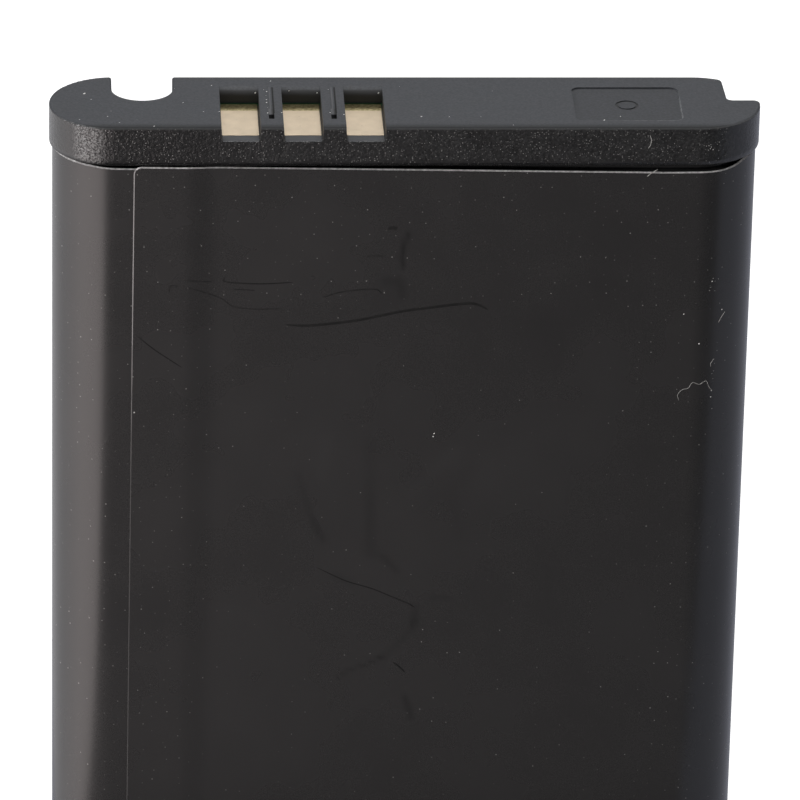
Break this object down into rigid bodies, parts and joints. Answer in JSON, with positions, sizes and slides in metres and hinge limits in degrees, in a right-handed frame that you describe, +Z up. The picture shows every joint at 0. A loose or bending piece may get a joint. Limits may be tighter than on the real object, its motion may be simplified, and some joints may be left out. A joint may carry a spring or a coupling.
{
  "type": "handheld console battery pack",
  "caption": "Flat rechargeable battery pack for a handheld console: moulded contact end cap with recessed gold contacts, keying notch and step, and a wrapped film label.",
  "frame": {"origin": "middle of the base cap's underside, on the surface that the pack stands on", "axes": "+Z up along the pack to its contacts, the film's seam on the front that looks along -Y, +X to the right of that front"},
  "size_m": [0.038, 0.0068, 0.0545],
  "materials": {
    "cap_plastic": "fine spark-eroded grain",
    "film": "satin black film, pale at its cut edges",
    "can": "drawn",
    "nickel": "plain nickel strip",
    "gasket": "natural",
    "card": "pressed card",
    "tape": "foam tape",
    "board": "green solder resist",
    "gold": "gold plated",
    "fuse": "moulded",
    "chip": "moulded",
    "ceramic_chip": "glazed",
    "capacitor_chip": "fired"
  },
  "bodies": {
    "root": {"contact_end_cap": "cap_plastic", "base_end_cap": "cap_plastic", "wrap_film": "film", "cell_can": "can", "cell_terminal": "nickel", "terminal_gasket": "gasket", "insulating_card": "card", "base_tape": "tape", "circuit_board": "board", "contact_plate_left": "gold", "contact_plate_middle": "gold", "contact_plate_right": "gold", "positive_tab": "nickel", "negative_tab": "nickel", "fuse_lead": "nickel", "thermal_fuse": "fuse", "thermistor": "ceramic_chip", "switch_chip": "chip", "protection_chip": "chip", "chip_resistor_1": "ceramic_chip", "chip_resistor_2": "ceramic_chip", "chip_resistor_3": "ceramic_chip", "chip_capacitor_1": "capacitor_chip", "chip_capacitor_2": "capacitor_chip"}
  },
  "joints": []
}
